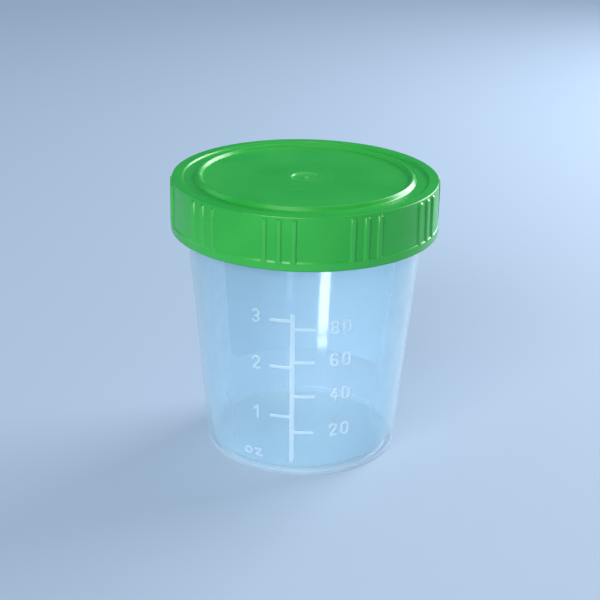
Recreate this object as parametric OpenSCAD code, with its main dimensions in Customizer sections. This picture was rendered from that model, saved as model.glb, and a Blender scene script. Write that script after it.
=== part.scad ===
// Urine specimen cup: a clear, graduated wide-mouth cup, a soft seal ring and a ribbed screw lid.
// The cup stands on Z = 0 and +Z runs up its axis. The graduations face -Y.

/* [Cup] */
// Outer radius of the cup where it meets the table
base_r = 24.5; // [22:0.5:27]
// Outer radius of the straight neck under the lid
neck_r = 29.7; // [28:0.1:40]
// Height of the cup from the table to its rim
cup_h = 68.7; // [55:0.1:90]
// Height of the straight neck below the rim
neck_len = 10.4; // [9.5:0.1:13]
// Wall thickness of the cup
wall = 1.15; // [0.9:0.05:1.4]
// Thickness of the floor
floor_t = 1.1; // [0.8:0.1:2]
// Radius of the bend between the floor and the wall, inside
floor_round = 1.4; // [0.6:0.1:3]
// Radius of the outer edge at the base
base_round = 0.7; // [0.3:0.1:1.2]
// Width of the ring that the cup stands on
foot_w = 1.9; // [1.4:0.1:3]
// Height of that ring below the floor
foot_h = 0.5; // [0.3:0.1:1.5]
// Radius of the moulding gate's mark under the floor
cup_gate_r = 2.2; // [1:0.1:4]

/* [Screw thread] */
// Rise of the lid in one full turn
pitch = 4; // [3.8:0.1:4.5]
// Length of each thread, in turns
thread_turns = 1.15; // [0.8:0.05:1.2]
// How far the cup's thread stands out of the neck
thread_h = 1.5; // [1:0.1:1.8]
// Width of the thread where it leaves the wall
thread_root_w = 1.9; // [1.5:0.1:2.2]
// Width of the thread at its crest
thread_crest_w = 0.8; // [0.5:0.1:1]
// Distance from the rim down to the top of the cup's thread
thread_drop = 1.6; // [1.4:0.1:2]
// Play between the two threads, up and down
thread_play = 0.25; // [0.15:0.05:0.4]
// Play between a crest and the wall that it faces
crest_play = 0.45; // [0.3:0.05:0.7]

/* [Lid] */
// Thickness of the lid's skirt
skirt_t = 1.6; // [1.2:0.1:2.2]
// Height of the skirt that hangs below the seal ring
skirt_drop = 10.5; // [9.5:0.1:12]
// Thickness of the lid's flat top
top_t = 1.4; // [1:0.1:2]
// How far the lid's outer rim stands above the flat top
rim_h = 0.3; // [0.1:0.1:1]
// Radius of the rounded shoulder
shoulder_round = 0.9; // [0.5:0.1:1.4]
// Draft of the skirt: how much wider it is at the bottom
skirt_draft = 0.15; // [0:0.05:0.4]
// Distance from the lid's edge to the outside of the groove
land_w = 2.5; // [1.8:0.1:4]
// Width of the groove inside the rim
groove_w = 3.2; // [2:0.1:5]
// Depth of the groove below the rim
groove_d = 0.55; // [0.2:0.05:0.8]
// Width of the raised ring inside the groove
ridge_w = 1.9; // [1.2:0.1:3]
// Height of the raised ring above the flat top
ridge_h = 0.85; // [0.4:0.05:1.5]
// Radius of the dished gate mark in the middle
dimple_r = 3.6; // [2:0.1:6]
// Depth of that mark
dimple_d = 0.4; // [0.2:0.1:0.7]

/* [Grip ribs] */
// Number of groups of ribs around the lid
rib_groups = 10; // [6:2:14]
// Number of ribs in a group
group_ribs = 3; // [1:1:4]
// Angle between the ribs of a group
rib_step = 6; // [4:0.5:8]
// Angle of the first group from the graduations
rib_clocking = -5.3; // [-18:0.1:18]
// Width of a rib
rib_w = 1.5; // [0.8:0.1:2.2]
// How far a rib stands out of the skirt
rib_h = 0.4; // [0.2:0.05:0.8]
// Height of the band around the skirt's bottom edge
band_h = 2; // [1:0.1:3]

/* [Seal] */
// Thickness of the seal ring
seal_t = 1; // [0.6:0.1:1.6]
// Play between the seal ring and the lid's walls
seal_play = 0.3; // [0.2:0.05:0.4]
// Length of the lid's plug below the seal ring
plug_len = 2.6; // [1.5:0.1:5]
// Thickness of the plug
plug_t = 1.1; // [0.8:0.1:1.6]
// Play between the plug and the mouth of the cup
plug_play = 0.3; // [0.15:0.05:0.5]
// How far the bead that keeps the seal ring in stands out of the skirt
bead_h = 0.6; // [0.5:0.1:0.8]

/* [Graduations] */
// Height of the raised marks
mark_h = 0.25; // [0.15:0.05:0.4]
// Width of the upright line
scale_w = 1.2; // [0.8:0.1:1.6]
// Thickness of a tick
tick_w = 0.9; // [0.6:0.1:1.2]
// Length of a tick from the middle of the line
tick_len = 5.6; // [3:0.1:6.5]
// Height of the upright line's lower end
scale_z = 3.9; // [3:0.1:6]
// Distance around the wall from the line to the middle of an ounce digit
ounce_gap = 9.2; // [8:0.1:12]
// Distance around the wall from the line to the middle of a millilitre number's first digit
ml_gap = 10.4; // [8:0.1:12]
// Distance from one digit of a number to the next
digit_step = 3.1; // [2.9:0.1:3.6]
// How far a digit's foot is below the middle of its tick
digit_drop = 1.4; // [0:0.1:2]
// Height of a digit
digit_h = 3.8; // [2.5:0.1:4.2]
// Width of a digit
digit_w = 2.3; // [1.8:0.1:2.6]
// Stroke of the digits
stroke = 0.6; // [0.4:0.05:0.7]
// Height of the foot of the unit's letters
unit_z = 4.4; // [3:0.1:8]
// Highest graduation on the millilitre side
top_ml = 80; // [40:20:80]
// Highest graduation on the ounce side
top_oz = 3; // [1:1:3]

/* [Hidden] */
$fn = 96;
bite = 0.4;                                   // how deep an added feature is rooted in its wall
ml_per_oz = 28.41;                            // an imperial fluid ounce
ml_step = 20;
line_over = 2;                                // how far the upright line runs past the highest tick
arc_n = 6;                                    // straight steps in a small rounded corner

// cup
taper_h = cup_h - neck_len;                   // height where the taper meets the neck
foot_z = foot_h + floor_t;                    // inside face of the floor
slope = (neck_r - base_r) / taper_h;
mouth_r = neck_r - wall;
floor_r = base_r + slope * foot_z - wall;     // inside radius at the floor
function wall_r(z) = base_r + slope * min(z, taper_h);
// Height of the level of v millilitres in the tapered inside of the cup
function level(v) = foot_z + (pow(pow(floor_r, 3) + 3 * slope * v * 1000 / PI, 1 / 3) - floor_r) / slope;

// lid and seal, built outward from the cup's neck and upward from its rim
lid_in_r = neck_r + thread_h + crest_play;    // inside of the skirt
lid_r = lid_in_r + skirt_t;                   // outside of the skirt at the top
plug_r = mouth_r - plug_play;
roof_z = cup_h + seal_t;                      // underside of the lid's top
flat_z = roof_z + top_t;
rim_z = flat_z + rim_h;
groove_z = rim_z - groove_d;
ridge_z = flat_z + ridge_h;
skirt_z = cup_h - skirt_drop;
groove_out_r = lid_r - land_w;
groove_in_r = groove_out_r - groove_w;
step_w = 0.4;                                 // width of the groove's sloping sides
ridge_round = 0.1;                            // how far the raised ring's shoulders are below its crest
bead_play = 0.15;                             // gap between the seal ring and the bead
bead_z = cup_h - bead_play;
lead_in = 0.4;                                // bevel at the edges that meet first when closing
plug_lead = 1;                                // height of the bevel at the plug's foot
nub_r = 0.6;                                  // radius of the gate's broken stub in the dished mark
rib_top_z = rim_z - 0.65 * shoulder_round;    // the ribs end where the shoulder turns in

// thread: the cup's ridge, and the lid's ridge that lies under it
lid_thread_h = lid_in_r - neck_r - crest_play;
flank = (thread_root_w - thread_crest_w) / 2 / thread_h;
mate_w = (thread_root_w + thread_crest_w) / 2 + flank * crest_play;
cup_thread_z = cup_h - thread_drop - thread_root_w / 2 - pitch * thread_turns;
lid_thread_z = cup_thread_z - mate_w - thread_play;
thread_length = 46;                           // most degrees in one length of an interrupted thread
thread_gap = 6;                               // degrees between two lengths

// Points of an arc about c from angle a to angle b
function arc(c, r, a, b) = [for (i = [0 : arc_n]) c + r * [cos(a + (b - a) * i / arc_n),
                                                           sin(a + (b - a) * i / arc_n)]];
// Interrupted helical ridge from radius root to radius crest. It starts on +X at height z and climbs
// anticlockwise in short lengths, each tilted by the lead angle, with gaps that let the air out.
module thread(root, crest, z) {
    lengths = ceil(360 * thread_turns / thread_length);
    span = 360 * thread_turns / lengths;
    tilt = atan(pitch / (2 * PI * (root + crest) / 2));
    foot = root + sign(root - crest) * bite;
    half_foot = thread_crest_w / 2 + flank * abs(crest - foot);
    for (i = [0 : lengths - 1])
        translate([0, 0, z + pitch * (i + 0.5) * span / 360])
            rotate((i + 0.5) * span) rotate([tilt, 0, 0]) rotate(-(span - thread_gap) / 2)
                rotate_extrude(angle = span - thread_gap) polygon([
                    [foot, -half_foot], [crest, -thread_crest_w / 2],
                    [crest, thread_crest_w / 2], [foot, half_foot]]);
}

// ---- graduations ----

// Straight stroke with round ends, from p to q
module bar(p, q) {
    d = q - p;
    translate(p) rotate(atan2(d[1], d[0])) translate([0, -stroke / 2]) square([norm(d), stroke]);
    translate(p) circle(d = stroke);
    translate(q) circle(d = stroke);
}

// Curved stroke about c, on radius r, from angle a round to angle b
module bend(c, r, a, b) {
    far = 2 * r;
    translate(c) intersection() {
        difference() {
            circle(r + stroke / 2);
            circle(r - stroke / 2);
        }
        if (b - a < 360)
            polygon(concat([[0, 0]], [for (i = [0 : 8]) far * [cos(a + (b - a) * i / 8),
                                                               sin(a + (b - a) * i / 8)]]));
    }
}

// One digit, "o" or "z", drawn with strokes and standing on y = 0, centred on x = 0
module glyph(name) {
    x = (digit_w - stroke) / 2;
    top = digit_h - stroke / 2;
    low = stroke / 2;
    if (name == "0") {
        bend([0, top - x], x, 0, 180);
        bend([0, low + x], x, 180, 360);
        bar([-x, low + x], [-x, top - x]);
        bar([x, low + x], [x, top - x]);
    }
    if (name == "1") {
        bar([x / 2, low], [x / 2, top]);
        bar([-x / 2, top - x], [x / 2, top]);
    }
    if (name == "2") {
        bend([0, top - x], x, -30, 180);
        bar([x * cos(30), top - x * 1.5], [-x, low]);
        bar([-x, low], [x, low]);
    }
    if (name == "3") {
        r = (top - low) / 4;
        bend([0, top - r], r, -90, 150);
        bend([0, low + r], r, 210, 450);
    }
    if (name == "4") {
        bar([x / 2, low], [x / 2, top]);
        bar([x / 2, top], [-x, low + x]);
        bar([-x, low + x], [x, low + x]);
    }
    if (name == "6") {
        bend([0, low + x], x, 0, 360);
        bend([0, top - x], x, 30, 180);
        bar([-x, low + x], [-x, top - x]);
    }
    if (name == "8") {
        r = (top - low) / 4;
        bend([0, top - r], r, 0, 360);
        bend([0, low + r], r, 0, 360);
    }
    if (name == "o")
        bend([0, low + x], x, 0, 360);
    if (name == "z") {
        high = low + 2 * x;
        bar([-x, high], [x, high]);
        bar([x, high], [-x, low]);
        bar([-x, low], [x, low]);
    }
}

// Stands a flat drawing on the wall, s millimetres round from the upright line, its y = 0 at height z
module on_wall(s, z) {
    depth = 3;
    rotate(s / wall_r(z) * 180 / PI)
        translate([0, depth - wall_r(z), z]) rotate([90, 0, 0]) linear_extrude(2 * depth) children();
}

module graduations() {
    line_top = level(top_oz * ml_per_oz) + line_over;
    on_wall(0, scale_z) translate([-scale_w / 2, 0]) square([scale_w, line_top - scale_z]);
    for (v = [ml_step : ml_step : top_ml]) {
        on_wall(0, level(v) - tick_w / 2) square([tick_len, tick_w]);
        on_wall(ml_gap, level(v) - digit_drop) glyph(str(v / 10));
        on_wall(ml_gap + digit_step, level(v) - digit_drop) glyph("0");
    }
    for (v = [1 : top_oz]) {
        tick_z = level(v * ml_per_oz);
        on_wall(0, tick_z - tick_w / 2) translate([-tick_len, 0]) square([tick_len, tick_w]);
        on_wall(-ounce_gap, tick_z - digit_drop) glyph(str(v));
    }
    on_wall(-ounce_gap - digit_w, unit_z) glyph("o");
    on_wall(-ounce_gap + stroke, unit_z) glyph("z");
}

// Thin skin around the tapered wall, which gives the raised marks their height
module mark_skin() {
    rotate_extrude() polygon([
        [base_r - bite, 0], [base_r + mark_h, 0],
        [neck_r + mark_h, taper_h], [neck_r - bite, taper_h]]);
}

// ---- the three pieces ----

module cup() {
    color([0.72, 0.84, 0.94, 0.6]) {
        rotate_extrude() polygon(concat(
            [[0, foot_h]],
            [[base_r - foot_w - foot_h, foot_h], [base_r - foot_w, 0]],
            arc([base_r - base_round, base_round], base_round, -90, 0),
            [[neck_r, taper_h]],
            arc([neck_r - wall / 2, cup_h - wall / 2], wall / 2, 0, 180),
            [[mouth_r, taper_h]],
            arc([floor_r - floor_round, foot_z + floor_round], floor_round, 0, -90),
            [[0, foot_z]]));
        translate([0, 0, foot_h - bite / 2]) cylinder(r = cup_gate_r, h = bite);
        thread(neck_r, neck_r + thread_h, cup_thread_z);
        intersection() {
            mark_skin();
            graduations();
        }
    }
}

module seal_ring() {
    color([0.93, 0.94, 0.93])
        translate([0, 0, cup_h]) difference() {
            cylinder(r = lid_in_r - seal_play, h = seal_t);
            translate([0, 0, -seal_t]) cylinder(r = plug_r + seal_play, h = 3 * seal_t);
        }
}

module grip_ribs() {
    // a round bar, sunk so that it shows rib_w wide and rib_h proud of the skirt
    bar_r = (pow(rib_w / 2, 2) + rib_h * rib_h) / (2 * rib_h);
    foot = skirt_z + band_h / 2;
    for (g = [0 : rib_groups - 1], i = [0 : group_ribs - 1])
        rotate(rib_clocking - 90 + g * 360 / rib_groups + (i - (group_ribs - 1) / 2) * rib_step)
            translate([lid_r + skirt_draft / 2 + rib_h - bar_r, 0, foot])
                cylinder(r = bar_r, h = rib_top_z - foot, $fn = 32);
}

module lid() {
    color([0.18, 0.66, 0.29]) {
        difference() {
            union() {
                rotate_extrude() polygon(concat(
                    [[0, roof_z - bite], [0, flat_z], [groove_in_r - ridge_w, flat_z]],
                    [[groove_in_r - ridge_w * 0.7, ridge_z - ridge_round],
                     [groove_in_r - ridge_w * 0.5, ridge_z],
                     [groove_in_r - ridge_w * 0.3, ridge_z - ridge_round]],
                    [[groove_in_r, groove_z], [groove_out_r - step_w, groove_z], [groove_out_r, rim_z]],
                    arc([lid_r - shoulder_round, rim_z - shoulder_round], shoulder_round, 90, 0),
                    [[lid_r + skirt_draft, skirt_z + band_h + rib_h], [lid_r + rib_h, skirt_z + band_h],
                     [lid_r + rib_h, skirt_z + lead_in], [lid_r + rib_h - lead_in, skirt_z],
                     [lid_in_r - bite, skirt_z], [lid_in_r - bite, roof_z - bite]]));
                grip_ribs();
            }
            // hollow of the skirt, widened at its mouth
            translate([0, 0, skirt_z - 1]) cylinder(r = lid_in_r, h = roof_z - skirt_z + 1);
            translate([0, 0, skirt_z - lead_in / 2])
                cylinder(r1 = lid_in_r + lead_in, r2 = lid_in_r, h = lead_in * 1.5);
            // dished gate mark
            translate([0, 0, flat_z - dimple_d])
                cylinder(r1 = dimple_r - dimple_d, r2 = dimple_r + dimple_d, h = 2 * dimple_d);
        }
        translate([0, 0, flat_z - 2 * dimple_d]) cylinder(r = nub_r, h = 1.8 * dimple_d, $fn = 32);
        // plug that enters the mouth of the cup inside the seal ring
        rotate_extrude() polygon([
            [plug_r - plug_t, roof_z + bite], [plug_r, roof_z + bite], [plug_r, cup_h - plug_len + plug_lead],
            [plug_r - plug_t / 2, cup_h - plug_len], [plug_r - plug_t, cup_h - plug_len]]);
        // bead that keeps the seal ring in the lid
        rotate_extrude() polygon([
            [lid_in_r + bite, bead_z + bite], [lid_in_r, bead_z], [lid_in_r - bead_h, bead_z],
            [lid_in_r, bead_z - bead_h], [lid_in_r + bite, bead_z - bead_h]]);
        thread(lid_in_r, lid_in_r - lid_thread_h, lid_thread_z);
    }
}

cup();
seal_ring();
lid();
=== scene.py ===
# %% [markdown]
# # A clear specimen cup with a green screw lid
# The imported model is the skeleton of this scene: it says how big each piece is and how the lid moves. Its
# own meshes could be given materials and shown as they are, but a moulding is a smooth surface with small
# rounded edges, and those edges are what catch the light. So every surface that is seen is worked out here
# as an array of points, inside the box that the model gives.

# %% Load the frame
import math

import bmesh
import bpy
import numpy as np
from mathutils import Matrix, Vector


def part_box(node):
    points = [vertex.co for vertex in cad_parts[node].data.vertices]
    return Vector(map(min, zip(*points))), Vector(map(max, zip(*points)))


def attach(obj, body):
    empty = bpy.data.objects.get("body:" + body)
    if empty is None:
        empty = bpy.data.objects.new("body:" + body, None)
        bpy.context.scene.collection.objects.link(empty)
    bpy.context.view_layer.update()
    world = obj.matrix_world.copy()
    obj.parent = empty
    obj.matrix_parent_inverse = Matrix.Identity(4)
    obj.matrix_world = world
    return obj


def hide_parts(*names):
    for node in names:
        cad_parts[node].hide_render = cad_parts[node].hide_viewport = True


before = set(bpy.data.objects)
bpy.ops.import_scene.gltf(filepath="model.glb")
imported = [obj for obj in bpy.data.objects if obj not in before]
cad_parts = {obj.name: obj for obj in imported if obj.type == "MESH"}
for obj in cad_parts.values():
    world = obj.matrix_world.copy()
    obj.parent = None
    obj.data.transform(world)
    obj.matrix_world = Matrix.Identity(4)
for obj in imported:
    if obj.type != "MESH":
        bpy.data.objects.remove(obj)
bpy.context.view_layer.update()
MM = 0.001

# %% [markdown]
# ## Sizes
# All shapes below are in millimetres. Heights are read from the frame's boxes, so the looks follow the
# design. What a box can't say, such as a wall's thickness or the width of a groove, is a named value.


# %% Sizes from the frame
def low(node):
    """The lowest corner of a node's box, in millimetres."""
    return np.array(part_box(node)[0]) / MM


def high(node):
    """The highest corner of a node's box, in millimetres."""
    return np.array(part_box(node)[1]) / MM


rim_top = low("seal_ring")[2]        # the cup's rim, which the seal ring lies on
roof = high("seal_ring")[2]          # underside of the lid's top
skirt_foot = low("lid")[2]
ridge_top = high("lid")[2]

base_r = 24.5                        # outer radius of the cup on the table
neck_r = 29.7                        # outer radius of its straight neck
neck_len = 10.4
wall = 1.15
foot_h = 0.5                         # the ring that the cup stands on
foot_w = 1.9
floor_t = 1.1
taper_top = rim_top - neck_len
mouth_r = neck_r - wall
floor_top = foot_h + floor_t
slope = (neck_r - base_r) / taper_top

pitch = 4.0
thread_h = 1.5
crest_play = 0.45
skirt_t = 1.6
rib_h = 0.4
lid_in_r = neck_r + thread_h + crest_play
lid_r = lid_in_r + skirt_t
flat_top = roof + 1.4
rim_of_lid = flat_top + 0.3


def wall_r(z):
    """Outer radius of the cup at height z: a straight taper up to the neck."""
    return base_r + slope * np.minimum(z, taper_top)


floor_r = wall_r(floor_top) - wall
print(f"cup {rim_top:.1f} mm tall, lid {2 * lid_r:.1f} mm across, closed height {ridge_top:.2f} mm")

# %% [markdown]
# ## Surfaces from arrays
# Blender could spin a curve or cut shapes from each other. A grid of points is more direct for a moulding:
# one axis of the grid runs along an outline, and the other runs round the axis or along a stroke. The same
# function then makes every piece, its columns can be packed where the detail is, and its seams close
# exactly.


# %% Mesh from grids of points
def grid_faces(rows, cols, join_rows, join_cols):
    """Corner numbers of the squares of a grid stored row after row. A joined direction wraps round."""
    r = np.arange(rows if join_rows else rows - 1)
    c = np.arange(cols if join_cols else cols - 1)
    r, c = (a.ravel() for a in np.meshgrid(r, c, indexing="ij"))
    r2, c2 = (r + 1) % rows, (c + 1) % cols
    return np.stack([r * cols + c, r * cols + c2, r2 * cols + c2, r2 * cols + c], 1)


def skin(name, patches, sharp=40):
    """One object from patches, each (points of shape rows x cols x 3 in mm, joins rows, joins cols, has end
    caps). Points at one place are merged, which closes the poles, and then the faces are turned outward.
    Edges sharper than `sharp` degrees stay crisp."""
    verts, faces, start = [], [], 0
    for points, join_rows, join_cols, caps in patches:
        rows, cols, _ = points.shape
        verts.append(points.reshape(-1, 3))
        faces += (grid_faces(rows, cols, join_rows, join_cols) + start).tolist()
        if caps:
            last = start + (rows - 1) * cols
            faces += [list(range(start, start + cols)), list(range(last, last + cols))]
        start += rows * cols
    mesh = bpy.data.meshes.new(name)
    mesh.from_pydata((np.concatenate(verts) * MM).tolist(), [], faces)
    work = bmesh.new()
    work.from_mesh(mesh)
    bmesh.ops.remove_doubles(work, verts=work.verts, dist=1e-7)
    bmesh.ops.recalc_face_normals(work, faces=work.faces)
    work.to_mesh(mesh)
    work.free()
    mesh.shade_smooth()
    mesh.set_sharp_from_angle(angle=math.radians(sharp))
    piece = bpy.data.objects.new(name, mesh)
    bpy.context.scene.collection.objects.link(piece)
    print(f"{name}: {len(mesh.polygons)} faces")
    return piece


# %% Outlines with rounded corners
def rounded(corners, steps=6, join=False):
    """Points along an outline. Each corner is (radius, height, setback): the outline leaves the straight line
    at that distance before the corner and rejoins it as far after, on the curve
    (1-t)^2 A + 2t(1-t) C + t^2 B. One more point just outside each end of the curve keeps the flats flat."""
    c = np.array([p[:2] for p in corners], float)
    setback = [p[2] for p in corners]
    t = np.linspace(0, 1, steps)[:, None]
    out = []
    for i, (corner, d) in enumerate(zip(c, setback)):
        if d == 0 or (not join and i in (0, len(c) - 1)):
            out.append(corner[None])
            continue
        before, after = c[i - 1], c[(i + 1) % len(c)]
        gap_a, gap_b = np.linalg.norm(before - corner), np.linalg.norm(after - corner)
        d = min(d, 0.45 * gap_a, 0.45 * gap_b)
        to_a, to_b = (before - corner) / gap_a, (after - corner) / gap_b
        a, b = corner + d * to_a, corner + d * to_b
        curve = (1 - t) ** 2 * a + 2 * t * (1 - t) * corner + t ** 2 * b
        out.append(np.concatenate([[corner + 1.1 * d * to_a], curve, [corner + 1.1 * d * to_b]]))
    return np.concatenate(out)


def revolve(outline, angles):
    """Each outline point (r, z) becomes a ring: x = r cos a, y = r sin a, z = z."""
    r, z = outline[:, 0][:, None], outline[:, 1][:, None]
    return np.stack(np.broadcast_arrays(r * np.cos(angles), r * np.sin(angles), z), -1)


def full_turn(count):
    """That many angles, evenly round the axis."""
    return np.linspace(0, 2 * np.pi, count, endpoint=False)


# %% [markdown]
# ## The camera
# It looks down on the lid by about 22 degrees, a little to the right of the graduations, from 0.38 m away
# through a long lens, so that the cup's taper is hardly changed by perspective. Turning it by angles,
# instead of tracking a point, leaves room for the small tilt that a hand-levelled tripod has.

# %% Camera
azimuth, elevation, pan, look_down, roll = (math.radians(a) for a in (4.9, 22.06, 0.133, 21.93, 1.1))
aim = Vector((0, 0, 0.0369))
back = Vector((math.sin(azimuth) * math.cos(elevation), -math.cos(azimuth) * math.cos(elevation),
               math.sin(elevation)))
camera = bpy.data.objects.new("camera", bpy.data.cameras.new("camera"))
camera.data.sensor_width = 36
camera.data.lens = 87.3
camera.data.clip_start = 0.01
camera.matrix_world = (Matrix.Translation(aim + back * 0.3754) @ Matrix.Rotation(azimuth + pan, 4, "Z")
                       @ Matrix.Rotation(math.pi / 2 - look_down, 4, "X") @ Matrix.Rotation(roll, 4, "Z"))
bpy.context.scene.collection.objects.link(camera)
bpy.context.scene.camera = camera
print("camera stands at", [round(v, 3) for v in camera.matrix_world.translation])

# %% [markdown]
# ## Shader arithmetic
# A finish is mostly arithmetic on positions and noise. Nodes could be placed and linked one by one, but
# then the formula is lost among the links. `Value` wraps a node's output so that the arithmetic reads as a
# formula, and `Nodes.node` makes any other node in one line.


# %% Values that are formulas
class Value:
    """A number that a node gives. Sums, products and powers of it add the Math nodes that work them out."""

    def __init__(self, nodes, socket):
        self.nodes, self.socket = nodes, socket

    def math(self, operation, first, second):
        """One Math node with these two inputs."""
        return self.nodes.node("ShaderNodeMath", {"operation": operation}, {0: first, 1: second})

    def __add__(self, other):
        return self.math("ADD", self, other)

    def __sub__(self, other):
        return self.math("SUBTRACT", self, other)

    def __rsub__(self, other):
        return self.math("SUBTRACT", other, self)

    def __mul__(self, other):
        return self.math("MULTIPLY", self, other)

    def __truediv__(self, other):
        return self.math("DIVIDE", self, other)

    def __pow__(self, other):
        return self.math("POWER", self, other)

    def __rpow__(self, other):
        return self.math("POWER", other, self)

    __radd__, __rmul__ = __add__, __mul__

    def clamp(self):
        """The number held between 0 and 1."""
        return self.math("MINIMUM", self.math("MAXIMUM", self, 0.0), 1.0)

    def smooth(self, start, end):
        """0 at start, 1 at end and beyond, and a smooth step between them."""
        return self.nodes.node("ShaderNodeMapRange", {"interpolation_type": "SMOOTHSTEP"},
                               {"Value": self, "From Min": start, "From Max": end})


# %% One way to make a node
class Nodes:
    """The node tree of a material or a world."""

    def __init__(self, owner):
        self.owner = owner
        owner.use_nodes = True
        self.tree = owner.node_tree
        self.tree.nodes.clear()

    def node(self, kind, settings=None, inputs=None, output=0):
        """Makes a node of this kind, sets its settings, fills its sockets, and gives one of its outputs."""
        made = self.tree.nodes.new(kind)
        for key, value in (settings or {}).items():
            setattr(made, key, value)
        for key, value in (inputs or {}).items():
            if isinstance(value, Value):
                self.tree.links.new(value.socket, made.inputs[key])
            else:
                made.inputs[key].default_value = value
        return Value(self, made.outputs[output]) if len(made.outputs) else None

    def place(self):
        """Where a point is on the piece, in metres."""
        return self.node("ShaderNodeTexCoord", output="Object")

    def height(self):
        """How high a point is, in metres."""
        return self.node("ShaderNodeSeparateXYZ", {}, {"Vector": self.place()}, output="Z")

    def noise(self, scale, detail=3.0):
        """Soft noise about 0.5, with about this many lumps in a metre."""
        return self.node("ShaderNodeTexNoise", {}, {"Vector": self.place(), "Scale": scale, "Detail": detail})

    def streaks(self, across, along, detail=2.0):
        """Noise with fewer lumps in a metre up the piece than across it, so that it is drawn out upward."""
        where = self.node("ShaderNodeMapping", {}, {"Vector": self.place(), "Scale": (across, across, along)})
        return self.node("ShaderNodeTexNoise", {}, {"Vector": where, "Scale": 1.0, "Detail": detail})

    def blend(self, share, first, second):
        """A colour that goes from first to second as share goes from 0 to 1."""
        return self.node("ShaderNodeMix", {"data_type": "RGBA"}, {0: share, 6: (*first, 1), 7: (*second, 1)},
                         output=2)

    def bump(self, relief, depth):
        """A normal tilted by a relief whose full range is `depth` metres."""
        return self.node("ShaderNodeBump", {}, {"Height": relief, "Distance": depth})

    def mix(self, share, first, second):
        """Two shaders blended, with this share of the second."""
        return self.node("ShaderNodeMixShader", {}, {0: share, 1: first, 2: second})

    def done(self, shader, output="ShaderNodeOutputMaterial"):
        """Sends the shader to the surface, and gives the material or world."""
        self.node(output, {}, {"Surface": shader})
        print(f"{self.owner.name}: {len(self.tree.nodes)} nodes")
        return self.owner


# %% [markdown]
# ## Natural polypropylene
# The cup is a milky, see-through plastic. A real volume would be right but slow and noisy in so thin a
# wall, so each face of the wall stands for half of its plastic. The share of light that it scatters is
# 1 - exp(-density / cosine), where the cosine is taken between the ray and the wall. The wall is then
# nearly clear face on and turns white towards its outline, as it does on the bench. What is scattered is
# partly sent back and partly sent on, and a clear gloss lies over it all. The raised graduations are the
# same plastic, made thicker, and the writing panel is the same plastic etched rough.


# %% Clear plastic
def see_through(name, density, milk, clear, gloss_rough, grain):
    """A thin milky plastic. density sets how white it is, milk and clear are the colours that it scatters and
    lets through, and grain is the depth in metres of its waves. Near the table and the rim the moulding is
    solid all through, so the density rises there."""
    n = Nodes(bpy.data.materials.new(name))
    facing = n.node("ShaderNodeLayerWeight", {}, {"Blend": 0.5}, output="Facing")
    cosine = 1.06 - facing           # a little over the true cosine, so that the outline stays finite
    cloud = n.noise(160)
    thick = n.height().smooth(0.0026, 0.0008) + n.height().smooth((rim_top - 1.2) * MM, rim_top * MM)
    depth = (n.streaks(90, 14) * 0.35 + cloud * 0.25 + 0.7) * density * (1 + 2.6 * thick)
    scattered = 1 - math.e ** (0 - depth / cosine)
    normal = n.bump(n.noise(900, 2.0) * 0.35 + n.streaks(60, 25), grain)
    colour = n.blend(cloud.smooth(0.3, 0.7), milk, [min(1, c * 1.04) for c in milk])
    sent_back = n.node("ShaderNodeBsdfPrincipled", {}, {"Base Color": colour, "Roughness": 0.45, "IOR": 1.49,
                                                        "Normal": normal})
    sent_on = n.node("ShaderNodeBsdfTranslucent", {}, {"Color": (*milk, 1), "Normal": normal})
    let_through = n.node("ShaderNodeBsdfTransparent", {}, {"Color": (*clear, 1)})
    body = n.mix(scattered.clamp(), let_through, n.mix(0.4, sent_back, sent_on))
    shine = n.node("ShaderNodeBsdfAnisotropic", {}, {"Color": (1, 1, 1, 1), "Roughness": gloss_rough,
                                                     "Normal": normal})
    return n.done(n.mix((0.04 + 0.9 * facing ** 5).clamp(), body, shine))


cup_plastic = see_through("clear polypropylene", 0.19, (0.84, 0.94, 1.0), (0.86, 0.95, 1.0), 0.10, 0.00002)
mark_plastic = see_through("raised graduations", 0.48, (0.90, 0.97, 1.0), (0.95, 0.98, 1.0), 0.15, 0.00002)
panel_plastic = see_through("frosted panel", 0.60, (0.93, 0.97, 1.0), (0.95, 0.98, 1.0), 0.45, 0.00005)

# %% [markdown]
# ## Green polyethylene
# The lid is an opaque, slightly waxy plastic. One flat colour would look like paint, so the green and the
# gloss both drift a little over the moulding, and faint waves bend the reflections. It is paler along the
# ribs and the raised ring, partly where hands rub it and partly as a painted highlight where they catch the
# light, and round the gate, partly where the plastic was strained and partly as a painted highlight on the
# dimple's far wall. The mesh says where that is, in an attribute named crest, because it follows the shape
# and no noise could find it.


# %% Lid plastic
def waxy_green():
    """Green polyethylene with a paler tone where the attribute crest is high, which is partly wear and strain
    whitening and partly a painted highlight.
    """
    n = Nodes(bpy.data.materials.new("green polyethylene"))
    crest = n.node("ShaderNodeAttribute", {"attribute_name": "crest"}, output="Fac")
    cloud = n.noise(60, 1.0)
    tone = n.blend(cloud.smooth(0.2, 0.8), (0.022, 0.420, 0.044), (0.036, 0.475, 0.058))
    # The pale green where crest is high is partly rubbing wear and strain whitening, and partly a painted
    # highlight on the raised edges and the gate.
    colour = n.node("ShaderNodeMix", {"data_type": "RGBA"},
                    {0: (crest * 0.14).clamp(), 6: tone, 7: (0.12, 0.62, 0.16, 1)}, output=2)
    rough = 0.22 + 0.12 * cloud - 0.02 * crest.clamp()
    normal = n.bump(n.noise(160, 0.0), 0.00002)
    return n.done(n.node("ShaderNodeBsdfPrincipled", {}, {"Base Color": colour, "Roughness": rough.clamp(),
                                                          "IOR": 1.51, "Normal": normal}))


lid_plastic = waxy_green()
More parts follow.
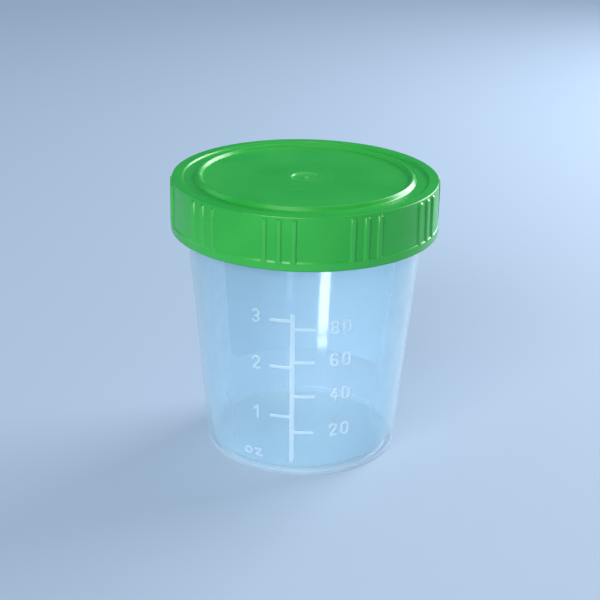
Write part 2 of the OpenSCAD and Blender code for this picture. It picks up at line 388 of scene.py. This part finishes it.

# %% [markdown]
# ## Foam
# The seal ring is white closed-cell foam. Voronoi cells give the small pressed bubbles on its skin, which
# noise would only smear, and each carries painted shade, a little darker where it sinks.


# %% Seal foam
def soft_foam():
    """White foam with cells 0.4 mm across."""
    n = Nodes(bpy.data.materials.new("seal foam"))
    dip = n.node("ShaderNodeTexVoronoi", {}, {"Vector": n.place(), "Scale": 2600.0}).smooth(0.0, 0.6)
    # Painted shade: each cell's colour is darker where it sinks.
    colour = n.blend(dip, (0.66, 0.68, 0.66), (0.86, 0.88, 0.86))
    return n.done(n.node("ShaderNodeBsdfPrincipled", {}, {"Base Color": colour, "Roughness": 0.85,
                                                          "Normal": n.bump(dip, 0.00008)}))


foam = soft_foam()

# %% [markdown]
# ## The cup
# The cup is one injection moulding, and round, so one closed outline turned about the axis makes it: out
# under the floor, over the foot ring, up the tapered wall to the rim, and down inside to the floor. The rim
# is rounded right across. The base edge is small and round, and draws the thin bright line where the cup
# meets the table.

# %% Cup body
gate_r = 2.2
foot_in = base_r - foot_w
cup_outline = rounded([
    (0, foot_h - 0.2, 0), (gate_r, foot_h - 0.2, 0.06), (gate_r + 0.1, foot_h, 0.05),
    (foot_in - foot_h, foot_h, 0.3), (foot_in, 0, 0.15), (base_r, 0, 0.65),
    (neck_r, taper_top, 1.5), (neck_r, rim_top, wall / 2), (mouth_r, rim_top, wall / 2),
    (mouth_r, taper_top, 1.5), (floor_r, floor_top, 1.5), (0, floor_top, 0)])
long_step = np.flatnonzero(np.linalg.norm(np.diff(cup_outline, axis=0), axis=1) > 6)
halfway = (cup_outline[long_step] + cup_outline[long_step + 1]) / 2
cup_outline = np.insert(cup_outline, long_step + 1, halfway, axis=0)
cup_body = skin("cup_body", [(revolve(cup_outline, full_turn(288)), False, True, False)])

# %% [markdown]
# ## Screw threads
# A thread is a small ridge carried along a helix: z = start + pitch * angle / turn. The Screw modifier
# makes one unbroken ridge, but moulded closures have short lengths with gaps between them, and each length
# swells up from the wall and sinks into it again, so the ridge is worked out as a grid. The lid's thread is
# the same shape turned inward, and lies just under the cup's.

# %% Threads
turns = 1.15
root_w = 1.9
crest_w = 0.8
thread_play = 0.25
length_angle = 46.0
gap_angle = 6.0


def screw_thread(root, crest, start):
    """Patches of an interrupted ridge between two radii. Across it, each half width goes with a share of the
    height: straight flanks from the root to near the crest, then a flat with eased corners. Along each length
    the height is 1 - |2t-1|^12, and the foot and the ends are sunk into the wall by `sink` of the height."""
    sink = 0.3
    half = np.array([root_w / 2 + 0.1, root_w / 2, crest_w / 2 + 0.1, 0.44 * crest_w, 0.25 * crest_w, 0])
    share = np.array([-sink, 0, 0.93, 1, 1, 1])
    across = np.concatenate([-half, half[-2::-1]])
    share = np.concatenate([share, share[-2::-1]])
    lengths = math.ceil(360 * turns / length_angle)
    span = 360 * turns / lengths
    t = np.linspace(0, 1, 40)[:, None]
    swell = (1 - np.abs(2 * t - 1) ** 12) * (1 + sink) - sink
    r = root + (crest - root) * np.where(share > 0, share * swell, share)
    patches = []
    for i in range(lengths):
        angle = np.radians(i * span + gap_angle / 2 + t * (span - gap_angle))
        z = start + pitch * angle / (2 * np.pi) + across
        patches.append((np.stack([r * np.cos(angle), r * np.sin(angle), z], -1), False, True, True))
    return patches


cup_thread_z = rim_top - 1.6 - root_w / 2 - pitch * turns
ridge_spacing = (root_w + crest_w) / 2 + (root_w - crest_w) / 2 / thread_h * crest_play
lid_thread_z = cup_thread_z - ridge_spacing - thread_play
cup_thread = skin("cup_thread", screw_thread(neck_r, neck_r + thread_h, cup_thread_z))
lid_thread = skin("lid_thread", screw_thread(lid_in_r, lid_in_r - thread_h, lid_thread_z))

# %% [markdown]
# ## The graduations
# The lines and digits are cut into the mould, so on the cup they stand 0.25 mm out of the wall with soft
# edges. A text object would have flat faces and a typeface, and a texture would have no edge to catch the
# light. Instead each stroke is a bead: a path on the unrolled wall, in arc length s and height z, with a
# low dome across it. The ticks stand where the tapered inside holds their volume.


# %% Beads on the wall
mark_h = 0.25
stroke_w = 0.6
tick_w = 0.9
line_w = 1.2


def on_wall(s, z, proud):
    """Points s mm round the wall from the upright line, at height z, standing proud of the wall."""
    r = wall_r(z)
    angle = s / r - np.pi / 2
    return np.stack([(r + proud) * np.cos(angle), (r + proud) * np.sin(angle), z], -1)


def along_path(path, at):
    """The points of a path (n x 2) at these distances from its start, held within its ends."""
    length = np.concatenate([[0], np.cumsum(np.linalg.norm(np.diff(path, axis=0), axis=1))])
    at = np.clip(at, 0, length[-1])
    return np.stack([np.interp(at, length, path[:, k]) for k in (0, 1)], 1)


def bead(path, width):
    """A patch for a bead along a path in s and z. Past each end of the path its half width falls as
    sqrt(1 - e^2), and across it the height is (1 - v^4) of mark_h."""
    tip = width / 2
    total = np.linalg.norm(np.diff(path, axis=0), axis=1).sum()
    inner = np.linspace(0, total, max(2, int(total / 0.35)))
    ends = tip * np.cos(np.linspace(0, np.pi / 2, 6))[:-1]
    at = np.concatenate([-ends, inner, total + ends[::-1]])
    held = np.clip(at, 0, total)
    past = np.abs(at - held) / tip
    half = tip * np.sqrt(np.clip(1 - past ** 2, 0.0004, 1))
    heading = along_path(path, held + 0.02) - along_path(path, held - 0.02)
    heading /= np.linalg.norm(heading, axis=1, keepdims=True)
    centre = along_path(path, held) + heading * (at - held)[:, None]
    side = heading[:, ::-1] * [-1, 1]
    v = np.linspace(-1, 1, 9)
    v = np.concatenate([v, v[::-1]])
    s_z = centre[:, None] + side[:, None] * (half[:, None] * v)[..., None]
    proud = (1 - v ** 4) * np.sqrt(half / tip)[:, None] * mark_h - 0.02
    proud[:, 9:] = -0.08
    return on_wall(s_z[..., 0], s_z[..., 1], proud), False, True, True


# %% Paths for strokes
def arc(cx, cz, r, start, end):
    """A path round (cx, cz) from one angle to another, in degrees anticlockwise from the right."""
    a = np.radians(np.linspace(start, end, 24))
    return np.stack([cx + r * np.cos(a), cz + r * np.sin(a)], 1)


def line(*points):
    """A path of straight stretches."""
    return np.array(points, float)


# %% Digits
digit_h = 3.8
digit_w = 2.3
dx = (digit_w - stroke_w) / 2
top_z = digit_h - stroke_w / 2
low_z = stroke_w / 2
quarter = (top_z - low_z) / 4
GLYPHS = {
    "0": [np.concatenate([arc(0, top_z - dx, dx, 0, 180), arc(0, low_z + dx, dx, 180, 360),
                          line((dx, top_z - dx))])],
    "1": [line((-dx / 2, top_z - dx), (dx / 2, top_z), (dx / 2, low_z))],
    "2": [np.concatenate([arc(0, top_z - dx, dx, 170, -30), line((-dx, low_z), (dx, low_z))])],
    "3": [arc(0, top_z - quarter, quarter, 150, -90), arc(0, low_z + quarter, quarter, 90, -150)],
    "4": [line((dx / 2, low_z), (dx / 2, top_z), (-dx, low_z + dx), (dx, low_z + dx))],
    "6": [arc(0, low_z + dx, dx, 0, 360), np.concatenate([arc(0, top_z - dx, dx, 40, 180),
                                                          line((-dx, low_z + dx))])],
    "8": [arc(0, top_z - quarter, quarter, 0, 360), arc(0, low_z + quarter, quarter, 0, 360)],
    "o": [arc(0, low_z + dx, dx, 0, 360)],
    "z": [line((-dx, low_z + 2 * dx), (dx, low_z + 2 * dx), (-dx, low_z), (dx, low_z))],
}
print(len(GLYPHS), "glyphs", digit_h, "mm tall")


# %% The scale
def level(ml):
    """Height at which the cup holds this many millilitres. The inside is a cone whose radius grows by k for
    each mm of height, so r^3 = r0^3 + 3 k V / pi, and the height above the floor is (r - r0) / k."""
    return floor_top + ((floor_r ** 3 + 3 * slope * ml * 1000 / np.pi) ** (1 / 3) - floor_r) / slope


def write(glyph, s, z):
    """The beads of one glyph, its middle s mm round from the line and its foot at height z."""
    return [bead(path + [s, z], stroke_w) for path in GLYPHS[glyph]]


ounce = 28.41                        # an imperial fluid ounce, in ml
digit_drop = 1.4                     # a digit's foot is this far below its tick
tick_len = 5.6
ounce_gap = 9.2
ml_gap = 10.4
digit_step = 3.1
line_foot = 3.9
unit_z = 4.4
marks = [bead(line((0, line_foot + line_w / 2), (0, level(3 * ounce) + 2 - line_w / 2)), line_w)]
for ml in (20, 40, 60, 80):
    marks.append(bead(line((line_w / 4, level(ml)), (tick_len - tick_w / 2, level(ml))), tick_w))
    marks += write(str(ml // 10), ml_gap, level(ml) - digit_drop)
    marks += write("0", ml_gap + digit_step, level(ml) - digit_drop)
for oz in (1, 2, 3):
    z = level(oz * ounce)
    marks.append(bead(line((-tick_len + tick_w / 2, z), (-line_w / 4, z)), tick_w))
    marks += write(str(oz), -ounce_gap, z - digit_drop)
marks += write("o", -ounce_gap - digit_w, unit_z) + write("z", -ounce_gap + stroke_w, unit_z)
scale_marks = skin("scale_marks", marks)

# %% [markdown]
# ## The writing panel
# The back of the cup has a frosted panel for a name, where the mould is etched. A mask in the wall's
# material could draw it, but a thin skin of its own gives it a true edge, a finish of its own and no
# guesswork about where the wall is. It runs 54 degrees to each side and up under the lid. Its outline is a
# rectangle with rounded corners, and rings of that outline shrink towards the middle. A point of a ring is
# centre + t * (outline - centre).

# %% Panel
panel_half = math.radians(54)
panel_low = 13.0
panel_top = taper_top + 1.0
corner_r = 4.0
panel_proud = 0.05
panel_root = 0.06


def panel_patch():
    """A sheet proud of the wall and one just inside it, which meet at the edge. Both leave the wall's surface
    with the square root of the distance from the edge."""
    mid_z, half_z = (panel_low + panel_top) / 2, (panel_top - panel_low) / 2
    mid_r = wall_r(mid_z)
    half_s = panel_half * mid_r
    corners = rounded([(half_s, 0, 0), (half_s, half_z, corner_r), (-half_s, half_z, corner_r),
                       (-half_s, -half_z, corner_r), (half_s, -half_z, corner_r), (half_s, 0, 0)], 10)
    total = np.linalg.norm(np.diff(corners, axis=0), axis=1).sum()
    outline = along_path(corners, np.linspace(0, total, 260, endpoint=False))
    t = np.concatenate([np.linspace(0, 0.97, 26), [0.985, 0.995, 1]])[:, None]
    angle = np.pi / 2 + t * outline[:, 0] / mid_r
    z = mid_z + t * outline[:, 1]
    rise = np.clip((1 - t) / 0.012, 0, 1) ** 0.5
    sheets = []
    for proud in (panel_proud, -panel_root):
        r = wall_r(z) + proud * rise
        sheets.append(np.stack([r * np.cos(angle), r * np.sin(angle), z], -1))
    return np.concatenate([sheets[0], sheets[1][-2::-1]]), False, True, False


writing_panel = skin("writing_panel", [panel_patch()])

# %% [markdown]
# ## The lid
# The lid is one moulding too: one outline turned about the axis, over the top with its gate mark, raised
# ring and groove, down the outside of the skirt, and back up inside past the bead that holds the seal, to
# the plug. The ribs could be separate bars pushed into the skirt, but then each would meet it in a hard
# crease. Here the skirt itself swells into ribs: a rib's height is a smooth step up from each side,
# s^2 (3 - 2s), and it ends in a small ledge under the shoulder. The columns of the grid are packed closely
# at the ribs and spread out between.

# %% Lid outline
draft = 0.15
shoulder = 0.9
band_top = skirt_foot + 2.0
rib_top = rim_of_lid - 0.65 * shoulder
ledge = 0.35
groove_out = lid_r - 2.5
groove_in = groove_out - 3.2
groove_floor = rim_of_lid - 0.55
ridge_w = 1.9
ridge_in = groove_in - ridge_w
dish_r = 3.6
dish = 0.4
nub_r = 0.6
plug_r = mouth_r - 0.3
plug_t = 1.1
plug_foot = rim_top - 2.6
bead_top = rim_top - 0.15
bead_in = 0.6
over_the_top = [
    (0, flat_top - 0.1, 0), (nub_r - 0.05, flat_top - 0.1, 0.12), (nub_r + 0.05, flat_top - dish, 0.08),
    (dish_r - dish, flat_top - dish, 0.3), (dish_r, flat_top, 0.25), (dish_r + 1.2, flat_top, 0),
    (dish_r + 8, flat_top, 0), (ridge_in - 1, flat_top, 0), (ridge_in, flat_top, 0.25),
    (groove_in - ridge_w * 0.62, ridge_top, 0.28), (groove_in - ridge_w * 0.38, ridge_top, 0.28),
    (groove_in, groove_floor, 0.3), (groove_out - 0.4, groove_floor, 0.3), (groove_out, rim_of_lid, 0.2)]
down_outside = [
    (lid_r, rim_of_lid, shoulder), (lid_r + 0.01, rib_top, 0), (lid_r + 0.012, rib_top - ledge, 0),
    (lid_r + draft / 2, (rib_top + band_top) / 2, 0), (lid_r + draft, band_top + rib_h, 0.1),
    (lid_r + rib_h, band_top, 0.12), (lid_r + rib_h, skirt_foot, 0.4)]
up_inside = [
    (lid_in_r + 0.3, skirt_foot, 0.15), (lid_in_r, skirt_foot + 0.6, 0.2),
    (lid_in_r, bead_top - bead_in, 0.2), (lid_in_r - bead_in, bead_top, 0.12), (lid_in_r, bead_top, 0.1),
    (lid_in_r, roof, 0.3), (plug_r, roof, 0.3), (plug_r, plug_foot + 1, 0.3),
    (plug_r - plug_t / 2, plug_foot, 0.2), (plug_r - plug_t, plug_foot, 0.15), (plug_r - plug_t, roof, 0.5),
    (0, roof, 0)]
lid_outline = rounded(over_the_top + down_outside + up_inside, steps=4)
print(len(lid_outline), "points in the lid's outline")

# %% Grip ribs
rib_groups = 10
rib_step = math.radians(6)
rib_clocking = math.radians(-5.3)
rib_half = 0.75
rib_flank = 0.32
group = rib_clocking - math.pi / 2 + full_turn(rib_groups)
rib_angles = (group[:, None] + rib_step * np.array([-1, 0, 1])).ravel()
close = np.linspace(-1.2, 1.2, 13) * rib_half / lid_r
columns = np.concatenate([(rib_angles[:, None] + close).ravel(), full_turn(200)]) % (2 * np.pi)
columns = np.unique(np.round(columns, 4))
away = np.abs((columns[:, None] - rib_angles + np.pi) % (2 * np.pi) - np.pi).min(1) * lid_r
s = np.clip((rib_half - away) / rib_flank, 0, 1)
rib_shape = s ** 2 * (3 - 2 * s)

line_r, line_z = lid_outline.T
outside = np.arange(len(line_z)) < np.argmax(line_z < skirt_foot + 0.01)
ribbed = outside & (line_r > lid_r - 0.05) & (line_z > band_top - 0.01) & (line_z < rib_top - ledge / 2)
crest_r = np.where(ribbed, np.maximum(line_r, lid_r + draft / 2 + rib_h), line_r)
radius = line_r[:, None] + (crest_r - line_r)[:, None] * rib_shape
lid_points = np.stack([radius * np.cos(columns), radius * np.sin(columns),
                       np.broadcast_to(line_z[:, None], radius.shape)], -1)
lid_shell = skin("lid_shell", [(lid_points, False, True, False)], sharp=50)

# %% Paler crests: wear and painted highlight
co = np.empty(len(lid_shell.data.vertices) * 3)
lid_shell.data.vertices.foreach_get("co", co)
x, y, z = co.reshape(-1, 3).T / MM
reach = np.hypot(x, y)
# Paler on the rib crests and the raised ring: partly rubbing wear, partly a painted highlight on edges that
# catch the light.
on_rib = np.clip((reach - lid_r - 0.12) / 0.3, 0, 1)
on_ridge = np.clip((z - ridge_top + 0.25) / 0.25, 0, 1)
# Round the gate: partly strain whitening, partly a painted highlight on the dimple's far wall.
on_gate = 3.2 * (np.exp(-((reach - dish_r + 0.3) / 0.4) ** 2) * (z > roof + 0.5) + (reach < nub_r))
wear_and_painted_highlight = np.maximum.reduce([on_rib, on_ridge, on_gate])
crest = lid_shell.data.attributes.new("crest", "FLOAT", "POINT")
crest.data.foreach_set("value", wear_and_painted_highlight.astype(np.float32))
print(f"crest is over a half at {np.mean(wear_and_painted_highlight > 0.5):.0%} of the lid's points")

# %% [markdown]
# ## The seal ring
# A flat ring cut from foam sheet, which lies in the lid's channel between the plug and the skirt. It
# touches the rim below and the lid above. A plain cylinder would show sharp edges that foam can't hold, so
# its section is a rectangle with soft corners.

# %% Seal ring
seal_out = high("seal_ring")[0]
seal_in = plug_r + 0.3
seal_section = rounded([(seal_in, rim_top, 0.2), (seal_out, rim_top, 0.2), (seal_out, roof, 0.2),
                        (seal_in, roof, 0.2)], join=True)
seal = skin("seal", [(revolve(seal_section, full_turn(180)), True, True, False)])

# %% [markdown]
# ## Dress and hang the pieces
# Each piece gets its finish, rides on its body of the frame, and stands for the node that it replaces.
# Parenting by hand could do the same, but then a pose would not know what to move.

# %% Finishes and bodies
PIECES = [
    (cup_body, cup_plastic, "cup", "cup", "clear_polypropylene"),
    (cup_thread, cup_plastic, "cup", "cup", "clear_polypropylene"),
    (scale_marks, mark_plastic, "cup", "cup", "clear_polypropylene"),
    (writing_panel, panel_plastic, "cup", "cup", "clear_polypropylene"),
    (seal, foam, "seal", "seal_ring", "seal_foam"),
    (lid_shell, lid_plastic, "lid", "lid", "green_polyethylene"),
    (lid_thread, lid_plastic, "lid", "lid", "green_polyethylene"),
]
for piece, material, body, node, slot in PIECES:
    piece.data.materials.append(material)
    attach(piece, body)
    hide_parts(node)

# %% [markdown]
# ## The floor
# A pale, slightly cool sheet. Lamps near the cup would leave its far side dark, so like a light table the
# sheet glows a little by itself. That also lights the clear base from below.

# %% Floor
across = np.linspace(-3000, 3000, 3)
sheet = np.stack([*np.meshgrid(across, across, indexing="ij"), np.zeros((3, 3))], -1)
floor = skin("floor", [(sheet, False, False, False)])
paper = Nodes(bpy.data.materials.new("floor paper"))
paper_tone = paper.blend(paper.noise(4.0, 2.0), (0.24, 0.30, 0.38), (0.26, 0.32, 0.40))
floor.data.materials.append(paper.done(paper.node("ShaderNodeBsdfPrincipled", {}, {
    "Base Color": paper_tone, "Roughness": 0.8, "Emission Color": (0.17, 0.225, 0.30, 1),
    "Emission Strength": 1.0})))

# %% [markdown]
# ## Soft light
# One big lamp in front lights the skirt more than the top. A narrow one above it draws the thin bright
# lines on the shoulder and the raised ring. One behind on the right makes the clear wall glow, because
# milky plastic is brightest when light comes through it. A weak blue one on the left and a long one high at
# the back keep the outline apart from the floor. Two small panes low in front give the wall its long
# upright reflection, as a window does. Only the cup receives those two, so that they leave no patch on the
# floor.


# %% Lamps
def lamp(name, azimuth, elevation, distance, size, power, colour):
    """An area light that faces the cup from a direction: azimuth is turned from -Y towards +X."""
    a, e = math.radians(azimuth), math.radians(elevation)
    way = Vector((math.sin(a) * math.cos(e), -math.cos(a) * math.cos(e), math.sin(e)))
    data = bpy.data.lights.new(name, "AREA")
    data.shape = "RECTANGLE"
    data.size, data.size_y = size
    data.energy = power
    data.color = colour
    light = bpy.data.objects.new(name, data)
    light.location = aim + way * distance
    light.rotation_mode = "QUATERNION"
    light.rotation_quaternion = (-way).to_track_quat("-Z", "Y")
    light.visible_camera = False
    bpy.context.scene.collection.objects.link(light)
    print(f"{name}: {power} W from {azimuth} degrees round, {elevation} up")
    return light


lamp("key", -16, 30, 0.8, (0.5, 0.36), 4.7, (1.0, 0.99, 0.95))
lamp("glint", -6, 60, 0.7, (0.22, 0.05), 0.25, (1.0, 1.0, 1.0))
lamp("side", 134, 22, 0.6, (0.4, 0.45), 5.2, (0.95, 0.98, 1.0))
lamp("cool", -100, 18, 0.8, (0.4, 0.5), 0.7, (0.55, 0.78, 1.0))
lamp("rim", 168, 66, 0.9, (0.6, 0.2), 0.6, (0.97, 0.99, 1.0))

# %% Window panes
cup_only = bpy.data.collections.new("cup pieces")
for piece in (cup_body, scale_marks):
    cup_only.objects.link(piece)
for name, height, tall, power in (("pane", 24.0, 22, 0.0062), ("lower pane", 9.8, 3.4, 0.0009)):
    pane = lamp(name, 22.2, 0, 0.070, (0.010, tall * MM), power, (1.0, 1.0, 1.0))
    pane.location.z = height * MM
    pane.light_linking.receiver_collection = cup_only

# %% [markdown]
# ## Surroundings
# A dim blue room fills the shadows. Behind the floor's edge the camera sees a paler tone than the one that
# lights the cup, so that the edge is hardly seen and the shadows still keep their depth. The standard view
# keeps the plastics as strong in colour as they are given. Light may pass many clear layers, because a line
# of sight crosses the graduations, both walls and the panel before it meets the floor.

# %% World and view
sky = Nodes(bpy.data.worlds.new("studio"))
room = sky.node("ShaderNodeBackground", {}, {"Color": (0.066, 0.114, 0.187, 1)})
horizon = sky.node("ShaderNodeBackground", {}, {"Color": (0.22, 0.29, 0.39, 1)})
seen = sky.node("ShaderNodeLightPath", output="Is Camera Ray")
bpy.context.scene.world = sky.done(sky.mix(seen, room, horizon), "ShaderNodeOutputWorld")
bpy.context.scene.view_settings.view_transform = "Standard"
bpy.context.scene.cycles.transparent_max_bounces = 24
